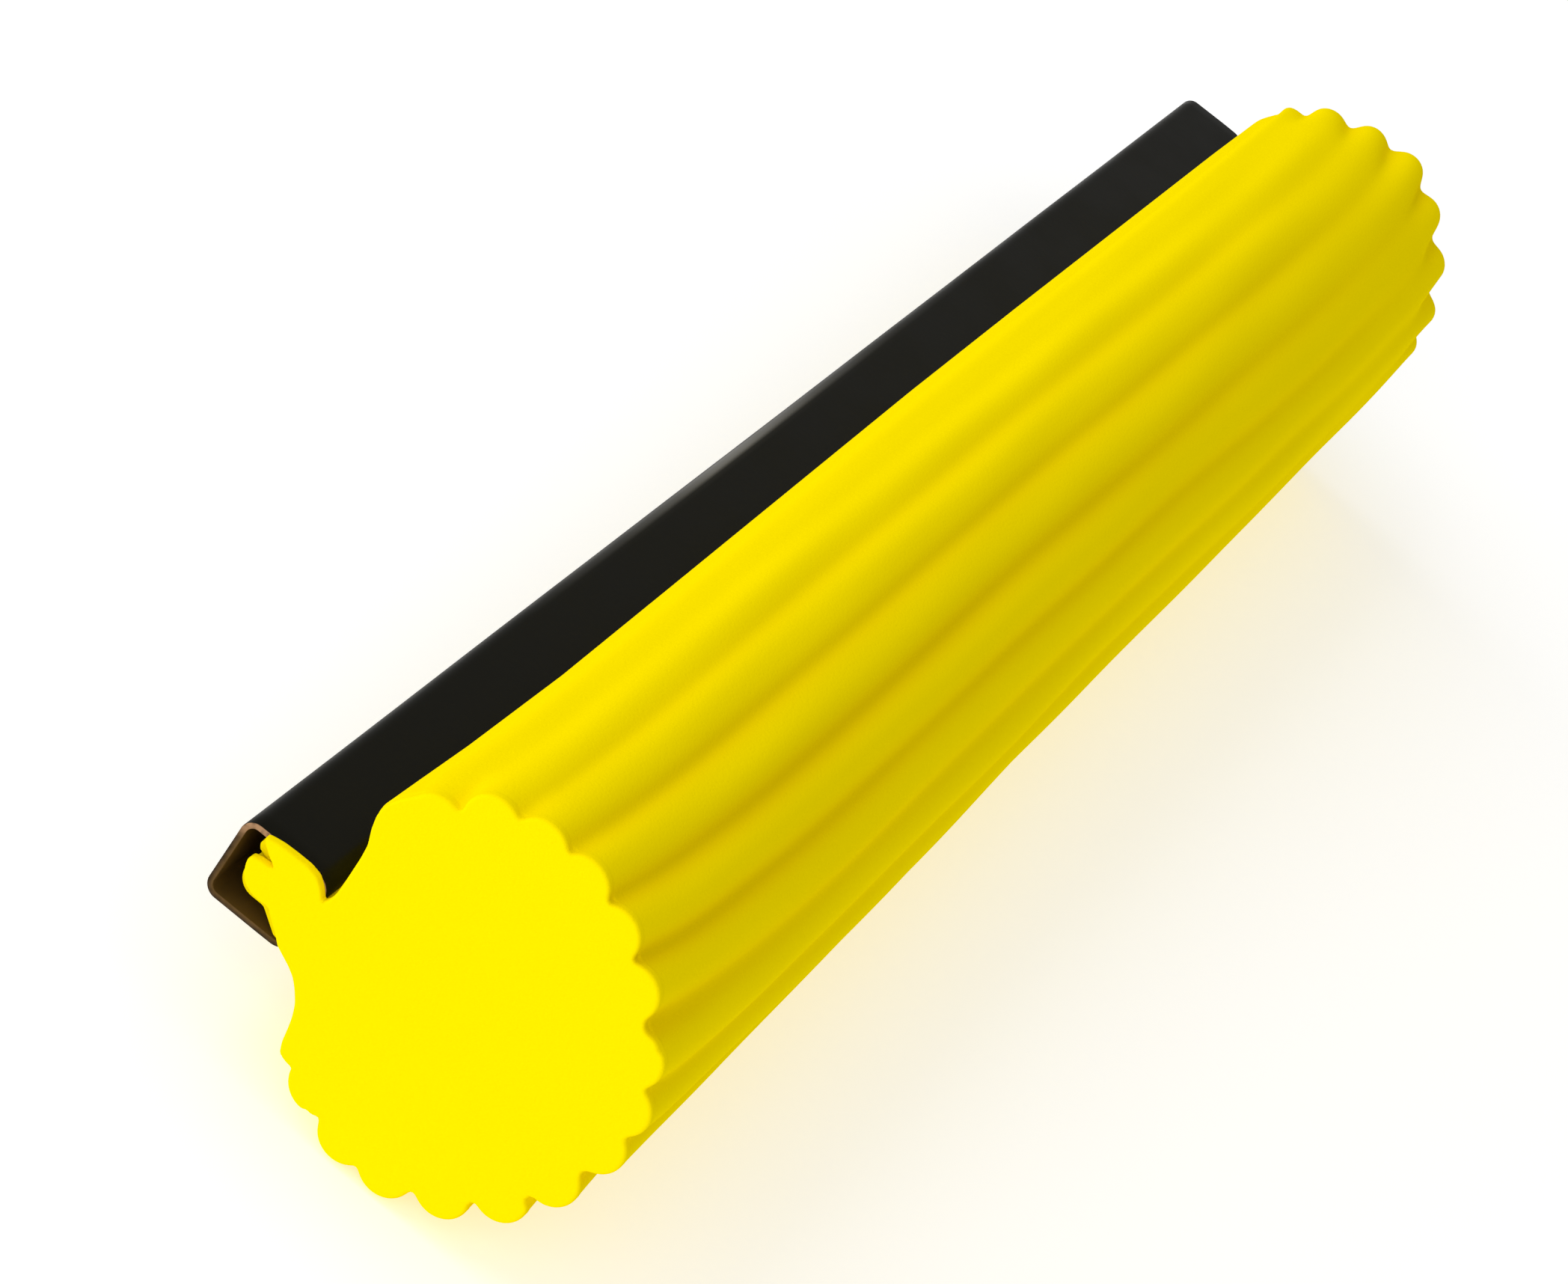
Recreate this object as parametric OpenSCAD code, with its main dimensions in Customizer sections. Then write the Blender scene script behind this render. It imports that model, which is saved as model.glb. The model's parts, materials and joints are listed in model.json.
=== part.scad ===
// Fluted sponge roll refill: a moulded sponge roll whose split bulb runs in a lipped channel rail.
// It lies on its side: X runs along the roll, the rail's back faces -Y, and Z is up.

/* [Sponge roll] */
// Length of the sponge
sponge_l = 380; // [200:1:600]
// Diameter over the tips of the flutes
roll_d = 62; // [56:0.5:76]
// Number of flutes, an even number
flute_n = 16; // [12:2:16]
// Angle from one flute to the next
flute_pitch = 17; // [16.5:0.1:17.5]
// Radius of each flute's rounded tip
flute_r = 4.2; // [4:0.05:4.6]
// How much lower the two outermost flutes are than the others
end_drop = 2.5; // [0:0.1:4]
// How much lower the next flute beside the hollow is than the others
low_drop = 2.7; // [0:0.1:3]
// Depth of the plain shoulder below the flute tips
shoulder_d = 4.3; // [3.8:0.1:5]
// Radius of the hollow that runs from the lowest flute to the neck
hollow_r = 9.9; // [8:0.1:11]
// Width of the flat seat between the neck and the upper shoulder
seat_w = 10.2; // [7:0.1:11]

/* [Bulb] */
// Width of the bulb's top, over the wider base that the lips hold
bulb_w = 8.2; // [7:0.1:10]
// Height over which the bulb's lower side narrows from its base to its top
taper_h = 3.4; // [1:0.1:4]
// Depth of the split in the bulb
split_d = 3.6; // [1:0.1:6]
// Width of the split at its mouth
split_w = 0.9; // [0.4:0.1:1.5]

/* [Rail] */
// How much longer the rail is than the sponge
rail_over = 28; // [0:1:60]
// Width of the rail over its flanges
rail_w = 13.3; // [12.6:0.1:17]
// Height of the rail from its lips to its back
rail_h = 14.4; // [13:0.1:20]
// Thickness of the rail's strip
rail_t = 0.9; // [0.6:0.05:1.2]
// Outside radius of the two bends at the back
bend_r = 2.2; // [1.5:0.1:2.6]
// Outside radius of each rolled lip
lip_r = 2.8; // [2.2:0.1:3]
// How far the rail hangs below the roll's middle
rail_droop = 4.2; // [0:0.1:5]
// Depth of the lips' lower face below the flute tips
lip_sink = 10.4; // [9.5:0.1:12]

/* [Fixing] */
// Distance between the two screw holes
hole_gap = 200; // [80:1:320]
// Diameter of the screw holes
hole_d = 4.5; // [4.2:0.1:5]
// Thread diameter of the captive nuts
thread_d = 4; // [3:0.5:4]
// Width across the flats of the square nuts
nut_w = 7; // [5.5:0.1:8]
// Thickness of the square nuts
nut_t = 2.2; // [1.6:0.1:2.6]

/* [Clearance] */
// Gap between the sponge and the rail or the nuts
slip = 0.3; // [0.2:0.05:0.5]

/* [Hidden] */
$fn = 96;
roll_r = roll_d / 2;
rail_l = sponge_l + rail_over;
// The hollow's middle, in shares of its radius from the rail's lower side and from the lips
hollow_out = 1.03;
hollow_in = 0.44;
// The corner where the upper shoulder meets the core, in shares of the core's radius
corner_up = 0.58;
corner_out = 0.79;
// The neck's root, in a share of the core's radius
neck_root = 0.6;
// The bulb's rounding and the place of its split, in shares of its width
bulb_share = 0.4;
split_share = 0.24;
flute_ring = roll_r - flute_r;
core_r = roll_r - shoulder_d;
// Angles of the flutes from the rail's side, the plain zone being left out
flute_angles = [for (k = [0 : flute_n - 1]) 180 + (k - (flute_n - 1) / 2) * flute_pitch];
full_flutes = [for (k = [1 : flute_n - 3]) flute_angles[k]];
low_flute = flute_angles[flute_n - 2];
end_flutes = [flute_angles[0], flute_angles[flute_n - 1]];
// Reach of the flutes below the middle, and away from the rail
low_reach = max([for (a = full_flutes) flute_ring * sin(a)]) + flute_r;
back_reach = max([for (a = full_flutes) -flute_ring * cos(a)]) + flute_r;
lip_v = roll_r - lip_sink;
rail_back = lip_v + rail_h;
origin_y = (rail_back - back_reach) / 2;
mouth_half = rail_w / 2 - lip_r;
inner_half = rail_w / 2 - rail_t;
// The bulb fills the rail's lips, hugs its upper flange, and stays clear of the nuts
bulb_half = inner_half - slip;
bulb_up = -rail_droop + bulb_half;
bulb_low = bulb_up - bulb_w;
bulb_top = rail_back - rail_t - nut_t - slip;
bead_v = lip_v + lip_r;
bead_r = lip_r - rail_t - slip;
bulb_round = bulb_w * bulb_share;
seat_v = lip_v - slip;
end_x = rail_l / 2;

// Carries a section drawn with the rail's side up onto the lying part: it runs from x0 for len
module along_roll(x0, len) {
    translate([x0, origin_y, low_reach])
        rotate([180, -90, 0])
            linear_extrude(height = len)
                children();
}

// A rectangle between two corners
module span(x0, y0, x1, y1) {
    translate([x0, y0]) square([x1 - x0, y1 - y0]);
}

// A rectangle between two corners with all four corners rounded
module round_span(x0, y0, x1, y1, r) {
    span(x0 + r, y0, x1 - r, y1);
    span(x0, y0 + r, x1, y1 - r);
    for (x = [x0 + r, x1 - r], y = [y0 + r, y1 - r])
        translate([x, y]) circle(r = r);
}

// Roll section: a core with flutes, hollowed below the neck and flat under the rail's lips
module roll_section() {
    hollow_h = -rail_droop - rail_w / 2 - hollow_r * hollow_out;
    difference() {
        union() {
            circle(r = core_r);
            for (a = full_flutes)
                rotate(-a) translate([0, flute_ring]) circle(r = flute_r);
            rotate(-low_flute) translate([0, flute_ring - low_drop]) circle(r = flute_r);
            for (a = end_flutes)
                rotate(-a) translate([0, flute_ring - end_drop]) circle(r = flute_r);
        }
        translate([hollow_h, lip_v + hollow_r * hollow_in]) circle(r = hollow_r);
        polygon([
            [hollow_h, seat_v],
            [seat_w - rail_droop + mouth_half, seat_v],
            [core_r * corner_up, core_r * corner_out],
            [core_r, roll_r * 2],
            [hollow_h, roll_r * 2]
        ]);
    }
}

// Neck and bulb section: it passes between the lips, rests in them on a wide base and has a split top
module bulb_section() {
    split_h = bulb_up - bulb_w * split_share;
    span(-rail_droop - mouth_half + slip, core_r * neck_root, -rail_droop + mouth_half - slip, bead_v);
    for (h = [-mouth_half, mouth_half])
        translate([h - rail_droop, bead_v]) circle(r = bead_r);
    difference() {
        union() {
            polygon([
                [-rail_droop - bulb_half, bead_v],
                [bulb_up, bead_v],
                [bulb_up, bead_v + taper_h],
                [bulb_low, bead_v + taper_h]
            ]);
            span(bulb_low, bead_v + taper_h, bulb_up, bulb_top - bulb_round);
            span(bulb_low + bulb_round, bead_v, bulb_up - bulb_round, bulb_top);
            for (h = [bulb_low + bulb_round, bulb_up - bulb_round])
                translate([h, bulb_top - bulb_round]) circle(r = bulb_round);
        }
        polygon([
            [split_h - split_w / 2, bulb_top + 1],
            [split_h + split_w / 2, bulb_top + 1],
            [split_h - split_w, bulb_top - split_d]
        ]);
    }
}

module sponge_roll() {
    color("gold")
        along_roll(end_x - sponge_l, sponge_l) {
            roll_section();
            bulb_section();
        }
}

// Rail section: one strip bent at the back, with a quarter-round lip rolled in on each side
module rail_section() {
    translate([-rail_droop, 0])
        difference() {
            intersection() {
                union() {
                    round_span(-rail_w / 2, lip_v, rail_w / 2, rail_back - bend_r, lip_r);
                    round_span(-rail_w / 2, lip_v + lip_r, rail_w / 2, rail_back, bend_r);
                }
                span(-rail_w, lip_v, rail_w, rail_back);
            }
            round_span(-inner_half, lip_v + rail_t, inner_half, rail_back - bend_r, lip_r - rail_t);
            round_span(-inner_half, lip_v + lip_r, inner_half, rail_back - rail_t, bend_r - rail_t);
            span(-mouth_half, lip_v - 1, mouth_half, lip_v + lip_r);
        }
}

// Puts its child on each screw hole's axis at the rail's back, pointing out of it
module at_holes() {
    for (x = [-hole_gap / 2, hole_gap / 2])
        translate([x, origin_y - rail_back, low_reach - rail_droop])
            rotate([90, 0, 0])
                children();
}

module clamp_rail() {
    color([0.13, 0.13, 0.11])
        difference() {
            along_roll(-rail_l / 2, rail_l) rail_section();
            at_holes() cylinder(h = 4 * rail_t, d = hole_d, center = true);
        }
}

// Square nuts lying behind the rail's holes
module square_nuts() {
    color("silver")
        at_holes()
            translate([0, 0, -rail_t - nut_t])
                difference() {
                    translate([-nut_w / 2, -nut_w / 2, 0]) cube([nut_w, nut_w, nut_t]);
                    translate([0, 0, -1]) cylinder(h = nut_t + 2, d = thread_d);
                }
}

sponge_roll();
clamp_rail();
square_nuts();
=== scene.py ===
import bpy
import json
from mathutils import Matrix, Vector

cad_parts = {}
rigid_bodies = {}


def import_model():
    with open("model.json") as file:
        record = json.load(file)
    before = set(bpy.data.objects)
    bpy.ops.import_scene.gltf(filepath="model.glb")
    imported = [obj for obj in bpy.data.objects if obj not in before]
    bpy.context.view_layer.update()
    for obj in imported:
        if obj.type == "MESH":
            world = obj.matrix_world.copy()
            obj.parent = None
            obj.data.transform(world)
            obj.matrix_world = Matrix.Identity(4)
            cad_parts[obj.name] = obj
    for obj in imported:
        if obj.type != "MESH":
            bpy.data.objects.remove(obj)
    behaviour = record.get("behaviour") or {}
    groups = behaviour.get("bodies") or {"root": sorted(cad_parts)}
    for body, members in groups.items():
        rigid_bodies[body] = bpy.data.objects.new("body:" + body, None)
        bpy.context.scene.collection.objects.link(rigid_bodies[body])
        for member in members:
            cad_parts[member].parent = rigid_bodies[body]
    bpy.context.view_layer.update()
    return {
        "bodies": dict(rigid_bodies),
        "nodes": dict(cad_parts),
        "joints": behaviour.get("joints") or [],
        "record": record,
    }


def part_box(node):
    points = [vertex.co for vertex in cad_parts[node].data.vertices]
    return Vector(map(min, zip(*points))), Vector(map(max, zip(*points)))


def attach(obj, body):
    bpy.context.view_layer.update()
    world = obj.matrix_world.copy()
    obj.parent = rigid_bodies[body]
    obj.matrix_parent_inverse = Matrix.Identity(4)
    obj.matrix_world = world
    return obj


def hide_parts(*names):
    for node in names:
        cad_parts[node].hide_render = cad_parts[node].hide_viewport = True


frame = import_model()

import json
import math

import bmesh
import bpy
import numpy as np
from bpy.props import FloatProperty, FloatVectorProperty, PointerProperty
from bpy.types import Operator, Panel, PropertyGroup
from mathutils import Matrix, Vector

bl_info = {
    "name": "Sponge roll refill",
    "version": (1, 0, 0),
    "blender": (4, 5, 0),
    "location": "View3D > Sidebar > Roll refill",
    "description": "Builds a fluted sponge roll in its lipped rail, two captive nuts and a small stage",
    "category": "Object",
}

# Everything is in metres. A section is drawn in two lengths: h, up from the roll's middle, and
# v, from the roll's middle towards the rail. On the lying part h is +Z and v is -Y.
MM = 0.001
RAIL_LOW, RAIL_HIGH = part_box("clamp_rail")
NUTS_LOW, NUTS_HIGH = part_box("square_nuts")
SPONGE_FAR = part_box("sponge_roll")[0].x
RAIL_END = RAIL_HIGH.x
# The roll's radius over the flutes' tips, and its middle on the lying part
ROLL_RADIUS = 31 * MM
AXIS_Y = 2.147 * MM
AXIS_Z = 30.953 * MM
RAIL_WIDTH = RAIL_HIGH.z - RAIL_LOW.z
RAIL_BACK = AXIS_Y - RAIL_LOW.y
RAIL_LIPS = AXIS_Y - RAIL_HIGH.y
RAIL_MIDDLE = (RAIL_HIGH.z + RAIL_LOW.z) / 2 - AXIS_Z
NUT_THICK = NUTS_HIGH.y - NUTS_LOW.y
# Gap between the sponge and the rail or the nuts
SLIP = 0.3 * MM
# Points on each of the rail section's quarter circles, and quads across each of its straight runs
CORNER = 14
WEB = 12
# Points on one flute of the sponge's outline, and on its plain runs: the seat, the hollow, the lower side,
# the lower lobe, the upper lobe and the upper side. The made outline is evened to SPONGE_AROUND points.
FLUTE_POINTS = 56
RUN_POINTS = (110, 60, 90, 100, 60, 90)
SPONGE_AROUND = 560
# How far each flute stands from its even place, turned in degrees and raised in millimetres, counted from
# the rail's upper side: at the flush end, a hand's width behind it, a hand's width before the far end,
# and at the far end. The rail's grip turns the flutes, and the cut ends spring back.
TURNED = (
    (2.0, 2.5, 0.4, -1.8, -3.0, -3.0, 0.0, -1.5, -3.8, -2.1, -2.0, -1.1, -0.5, -2.7, -3.0, -5.8),
    (4.5, 5.0, 4.9, 5.3, 6.4, 7.0, 7.0, 6.5, 5.0, 4.5, 4.0, 3.0, 2.0, 0.0, -1.0, -3.5),
    (8.5, 9.5, 10.2, 10.9, 11.3, 11.9, 11.5, 10.5, 9.0, 8.0, 7.0, 5.5, 4.0, 2.0, 0.0, -2.5),
    (4.3, 4.4, 5.7, 4.8, 5.0, 6.6, 9.0, 8.0, 6.0, 5.0, 4.5, 4.0, 3.0, 1.0, 0.0, -2.0),
)
RAISED = (
    (-2.3, -0.3, 0.2, 0.4, 0.0, -0.2, 0.0, 0.2, 0.2, 0.1, 0.3, 0.2, 0.1, -0.7, -2.7, -4.6),
    (-2.3, -0.5, 0.2, 0.4, 0.3, 0.2, 0.2, 0.2, 0.2, 0.0, 0.2, 0.2, 0.1, -0.7, -2.6, -4.5),
    (-2.3, -0.6, 0.3, 0.8, 0.8, 0.5, 0.4, 0.3, 0.1, -0.1, 0.1, 0.2, 0.1, -0.6, -2.4, -4.4),
    (-2.3, -0.8, 0.6, 2.2, 1.7, 1.0, 0.9, 0.4, 0.0, -0.3, 0.0, 0.2, 0.0, -0.5, -2.2, -4.2),
)
FLUTES = len(TURNED[0])
# Curves as pairs of a place and a value. A distance is counted from the flush end, in millimetres, and an
# angle from the rail over the upper side, in degrees.
CRISP_BY_DISTANCE = ((0, 1), (8, 0.85), (25, 0.72), (50, 0.62), (100, 0.55), (200, 0.42), (300, 0.24),
                     (345, 0.1), (362, 0.14), (381, 0.95))
CRISP_BY_ANGLE = ((62, 0), (72, 0.1), (82, 0.5), (99, 0.9), (118, 1), (140, 1), (155, 0.8))
# How strong the painted shade in the flutes' valleys is, by distance from the flush end and by angle
VALLEY_SHADE_BY_DISTANCE = ((0, 1), (50, 1), (100, 0.85), (200, 0.75), (300, 0.42), (345, 0.22), (370, 0.08),
                    (381, 0.4))
VALLEY_SHADE_BY_ANGLE = ((62, 0), (72, 0.1), (83, 0.45), (99, 0.8), (118, 1), (136, 0.9), (153, 0.5), (170, 0.4),
                 (205, 0.7))
# How far the shoulder beside the rail sinks, in millimetres
SUNK_BY_DISTANCE = ((0, -0.2), (9, 0.1), (24, 0.65), (54, 1.2), (94, 1.1), (194, 0.8), (244, 1.0), (304, 1.4),
                    (354, 1.75), (380, 2.1))
# How strong the painted highlight along the rail's upper bend is, by the place along X in millimetres
BEND_HIGHLIGHT_BY_PLACE = ((-75, 0), (-30, 0.1), (0, 0.38), (32, 1), (45, 0.95), (60, 0.48), (80, 0.2), (118, 0))
# Nicks in the flush end's rim: the angle in radians from the rail over the upper side, and the depth in
# millimetres. All are as wide, in radians, and reach as far along the roll.
NICKS = ((4.01, 0.4), (3.71, 0.7), (2.62, 0.3), (4.95, 0.3))
NICK_WIDTH = 0.02
NICK_REACH = 1.6 * MM


# ---------------------------------------------------------------- sizes and colours


def length(name, description, default):
    """A property for a length in metres."""
    return FloatProperty(name=name, description=description, default=default, min=0.0, max=1.0,
                         precision=5, subtype="DISTANCE", unit="LENGTH")


def colour(name, description, default):
    """A property for a linear colour."""
    return FloatVectorProperty(name=name, description=description, default=default, size=3, min=0.0,
                               max=1.0, subtype="COLOR")


class SpongeSizes(PropertyGroup):
    """Sizes of the fluted sponge roll."""

    pitch: FloatProperty(name="Flute pitch", description="Angle from one flute to the next",
                         default=math.radians(17), min=math.radians(16), max=math.radians(18),
                         subtype="ANGLE", unit="ROTATION")
    tip: length("Flute tip", "Radius of a flute's rounded tip", 4.2 * MM)
    groove: length("Groove", "Depth of the grooves below the flutes' tips", 2.8 * MM)
    bulb: length("Bulb", "Width of the bulb's top", 8.2 * MM)
    split: length("Split", "Depth of the split in the bulb", 3.6 * MM)
    proud: length("Proud end", "How far the flush end swells past the rail's end", 1.4 * MM)
    rim: length("Rim", "Rounding of the cut ends' rims", 0.55 * MM)
    waver: length("Waver", "How far the flutes wander along the roll", 0.25 * MM)
    spring: length("Spring back", "Distance over which the cut ends spring back", 28 * MM)


class RailSizes(PropertyGroup):
    """Sizes of the lipped rail."""

    strip: length("Strip", "Thickness of the rail's strip", 0.9 * MM)
    bend: length("Bend", "Outside radius of the two bends at the back", 2.2 * MM)
    lip: length("Lip", "Outside radius of each rolled lip", 2.8 * MM)
    hole_gap: length("Hole spacing", "Distance between the two screw holes", 200 * MM)
    hole: length("Hole", "Diameter of the screw holes", 4.5 * MM)
    ripple: length("Ripple", "Unevenness left in the strip by rolling", 0.05 * MM)


class NutSizes(PropertyGroup):
    """Sizes of the two square nuts."""

    thread: length("Thread", "Outside diameter of the nuts' thread", 4 * MM)
    pitch: length("Thread pitch", "Advance of the thread in one turn", 0.7 * MM)


class Finishes(PropertyGroup):
    """Colours of the finishes."""

    cut: colour("Cut sponge", "Sponge where it was sawn to length", (0.97, 0.785, 0.0))
    skin: colour("Sponge skin", "Sponge where it lay against its mould", (0.97, 0.765, 0.0))
    # Painted shade: the darker colour given to the flutes' valleys
    valley_shade: colour("Flute valleys", "Sponge at the bottom of the flutes", (0.84, 0.59, 0.0))
    paint: colour("Paint", "Paint on the rail", (0.0056, 0.0053, 0.003))
    # Partly real and partly painted light: bare sheared metal, warmed to stand in for light reflected from
    # the sponge
    edge_wear_and_reflection: colour("Worn edge", "Thin paint on the rail's sheared edges", (0.40, 0.23, 0.12))
    # Painted reflected light: a warm brown that stands in for the sponge's yellow bounce light inside the
    # rail
    inside: colour("Inside of the rail", "Thin brown coat inside the rail", (0.085, 0.048, 0.011))
    # Painted highlight: the pale colour given to the rail's upper bend
    bend_highlight: colour("Rubbed bend", "Paint rubbed pale on the rail's upper bend", (0.155, 0.15, 0.135))
    zinc: colour("Zinc", "Plating on the nuts", (0.62, 0.63, 0.62))
    floor: colour("Floor", "Floor under the part", (0.93, 0.93, 0.93))


# ---------------------------------------------------------------- outlines


def smooth_step(value, start, end):
    """Goes from 0 at start to 1 at end along 3t^2 - 2t^3."""
    t = np.clip((value - start) / (end - start), 0, 1)
    return t * t * (3 - 2 * t)


def knotted(at, knots):
    """A curve of straight runs between knots, each a pair of a place and a value."""
    return np.interp(at, *zip(*knots))


def even_run(corners, count):
    """Points at equal steps along straight runs between corners, without the last corner."""
    corners = np.asarray(corners, float)
    walked = np.concatenate([[0], np.cumsum(np.linalg.norm(np.diff(corners, axis=0), axis=1))])
    at = np.linspace(0, walked[-1], count, endpoint=False)
    return np.stack([np.interp(at, walked, corners[:, k]) for k in range(2)], 1)


def arc(centre, radius, start, end, count=24):
    """Points of a circle's arc. The angle runs from +v towards +h, in degrees."""
    turn = np.radians(np.linspace(start, end, count))
    return np.stack([centre[0] + radius * np.sin(turn), centre[1] + radius * np.cos(turn)], 1)


def softened(outline, reach):
    """A closed outline's running mean under a bell curve that is reach wide, in metres."""
    step = np.linalg.norm(np.roll(outline[:, :2], -1, 0) - outline[:, :2], axis=1).mean()
    sigma = reach / step
    offsets = np.arange(-int(3 * sigma) - 1, int(3 * sigma) + 2)
    bell = np.exp(-0.5 * (offsets / sigma) ** 2)
    bell /= bell.sum()
    return sum(weight * np.roll(outline, shift, 0) for weight, shift in zip(bell, offsets))


def fluted_arc(sizes, turned, raised, start, end):
    """The roll's own outline: at each angle the outermost of the flutes' circles and of the grooves' floor.
    A ray at angle d from a flute's middle leaves its circle at ring cos d + sqrt(tip^2 - ring^2 sin^2 d).
    turned and raised say how far each flute stands from its even place, in degrees and millimetres.
    The third column is the depth below the flutes' tips, as a share of the grooves' depth."""
    flutes = np.arange(FLUTES)
    middle = math.pi + (flutes - (FLUTES - 1) / 2) * sizes.pitch + np.radians(turned)
    ring = ROLL_RADIUS - sizes.tip + np.array(raised) * MM
    bounds = np.concatenate([[start], (middle[1:] + middle[:-1]) / 2, [end]])
    angle = np.interp(np.arange(FLUTES * FLUTE_POINTS) / FLUTE_POINTS, np.arange(FLUTES + 1), bounds)
    away = angle[:, None] - middle[None, :]
    under = sizes.tip ** 2 - (ring * np.sin(away)) ** 2
    reach = np.where((under > 0) & (np.cos(away) > 0), ring * np.cos(away) + np.sqrt(np.maximum(under, 0)), 0)
    tips = np.interp(angle, middle, ring + sizes.tip)
    reach = np.maximum(reach.max(1), tips - sizes.groove)
    return np.stack([reach * np.sin(angle), reach * np.cos(angle), (tips - reach) / sizes.groove], 1)


def in_mm(points):
    """Points given in millimetres, as an array in metres."""
    return np.array(points) * MM


def sponge_outlines(sizes, rail, lift):
    """Outlines of the sponge, point for point alike: free of the rail past the flush end, and then held by
    the rail at the four places along the roll. Each runs from the neck's upper side out over the seat,
    round the roll, up the lower side and back over the bulb. lift is added to the flutes' rise, in
    millimetres. The third column is the depth below the flutes' tips."""
    mouth = RAIL_WIDTH / 2 - rail.lip
    neck_high, neck_low = RAIL_MIDDLE + mouth - SLIP, RAIL_MIDDLE - mouth + SLIP
    bulb_high = RAIL_MIDDLE + RAIL_WIDTH / 2 - rail.strip - SLIP
    bulb_low = bulb_high - sizes.bulb
    bead_v = RAIL_LIPS + rail.lip
    bead = rail.lip - rail.strip - SLIP
    base_v = bead_v + 3.4 * MM
    seat_v = RAIL_LIPS - SLIP - 0.5 * MM
    top = RAIL_BACK - rail.strip - NUT_THICK - SLIP
    round_low, round_high = sizes.bulb * 0.34, 0.9 * MM
    split_h = bulb_high - sizes.bulb * 0.26

    shoulder = in_mm([(9.0, 19.6), (11.2, 19.8), (13.5, 20.6), (15.5, 21.0), (17.0, 20.9), (18.6, 20.3),
                      (20.2, 19.3), (21.8, 18.0)])
    hollow = in_mm([(-22.2, 14.0), (-21.0, 14.5), (-19.0, 14.8), (-17.0, 15.2), (-15.0, 15.9),
                    (-13.3, 17.0), (-12.0, 18.1)])
    start = math.atan2(*shoulder[-1])
    end = 2 * math.pi + math.atan2(*hollow[0])
    rolls = [fluted_arc(sizes, turned, np.array(raised) + lift, start, end)
             for turned, raised in zip(TURNED, RAISED)]

    seat = np.concatenate([[(neck_high, seat_v)], shoulder])
    low_side = np.concatenate([
        [hollow[-1], (-11.4 * MM, seat_v - 0.6 * MM), (-10.4 * MM, seat_v), (neck_low, seat_v),
         (neck_low, bead_v - bead)],
        arc((RAIL_MIDDLE - mouth, bead_v), bead, 180, 270),
        [(bulb_low, base_v)]])
    low_lobe = np.concatenate([
        [(bulb_low, base_v)],
        arc((bulb_low + round_low, top - round_low), round_low, -90, 30),
        [(split_h - 0.5 * MM, top - 0.4 * MM), (split_h - 0.9 * MM, top - sizes.split)]])
    high_lobe = np.concatenate([
        [(split_h - 0.7 * MM, top - sizes.split), (split_h + 0.5 * MM, top - 0.2 * MM)],
        arc((bulb_high - round_high, top - 0.7 * MM), round_high, 10, 90)])
    high_side = np.concatenate([
        high_lobe[-1:],
        arc((RAIL_MIDDLE + mouth, bead_v), bead, 90, 180),
        [(neck_high, bead_v - bead), (neck_high, seat_v)]])

    # Past the rail's end nothing holds the neck in, so it swells over both lips and the bulb spreads
    free_seat = np.concatenate([in_mm([(0.1, 20.4), (1.2, 19.8), (3.0, 19.5)]), shoulder])
    free_low_side = np.concatenate([
        hollow[-1:],
        in_mm([(-11.0, 19.5), (-10.3, 20.8), (-9.6, 22.1), (-8.3, 23.3), (-7.0, 24.8), (-5.8, 26.0)])])
    free_low_lobe = in_mm([(-5.8, 26.0), (-5.95, 27.6), (-5.8, 28.9), (-5.2, 30.2), (-4.2, 31.1),
                           (-3.0, 31.6), (-2.0, 31.8), (-1.2, 31.5), (-0.9, 30.3), (-0.75, 28.2)])
    free_high_lobe = in_mm([(-0.6, 28.2), (-0.2, 28.7), (0.4, 29.6), (1.5, 30.9), (2.35, 31.4), (2.6, 30.6)])
    free_high_side = in_mm([(2.6, 30.6), (2.9, 29.0), (3.0, 27.0), (3.0, 24.5), (2.6, 22.8), (1.5, 21.5),
                            (0.4, 20.7), (0.1, 20.4)])

    def ringed(roll, *runs):
        """One closed outline: the first run, the roll and the other runs, whose third column is 0."""
        plain = [np.pad(even_run(run, count), ((0, 0), (0, 1))) for run, count in zip(runs, RUN_POINTS)]
        return np.concatenate([plain[0], roll, *plain[1:]])

    free = ringed(rolls[0], free_seat, hollow, free_low_side, free_low_lobe, free_high_lobe, free_high_side)
    return [free] + [ringed(roll, seat, hollow, low_side, low_lobe, high_lobe, high_side) for roll in rolls]


def softened_outlines(sizes, rail):
    """The sponge's outlines with moulded roundings and evenly spaced points: the free one and the four held
    ones as they are at a fresh cut, and the four as the grip draws them smooth. Each is a mix of a firm
    outline at the neck and a softer one round the roll."""
    firm_reach, slack_reach, slack_lift = 0.22 * MM, 3.2 * MM, 0.9
    crisp = zip(sponge_outlines(sizes, rail, 0.0), np.array([0.4, 0.7, 0.8, 0.8, 0.9]) * MM)
    slack = [(outline, slack_reach) for outline in sponge_outlines(sizes, rail, slack_lift)[1:]]
    made = []
    for outline, mould in [*crisp, *slack]:
        firm, soft = softened(outline, firm_reach), softened(outline, mould)
        at_roll = smooth_step(outline[:, 1], 21 * MM, 17 * MM)[:, None]
        made.append(firm * (1 - at_roll) + soft * at_roll)
    ring = np.concatenate([made[0], made[0][:1]])
    walked = np.concatenate([[0], np.cumsum(np.linalg.norm(np.diff(ring[:, :2], axis=0), axis=1))])
    number = np.arange(len(ring))
    at = np.interp(np.linspace(0, walked[-1], SPONGE_AROUND, endpoint=False), walked, number)
    evened = [np.stack([np.interp(at, number, np.append(line, line[0])) for line in outline.T], 1)
              for outline in made]
    return evened[0], np.stack(evened[1:5]), np.stack(evened[5:])


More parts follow.
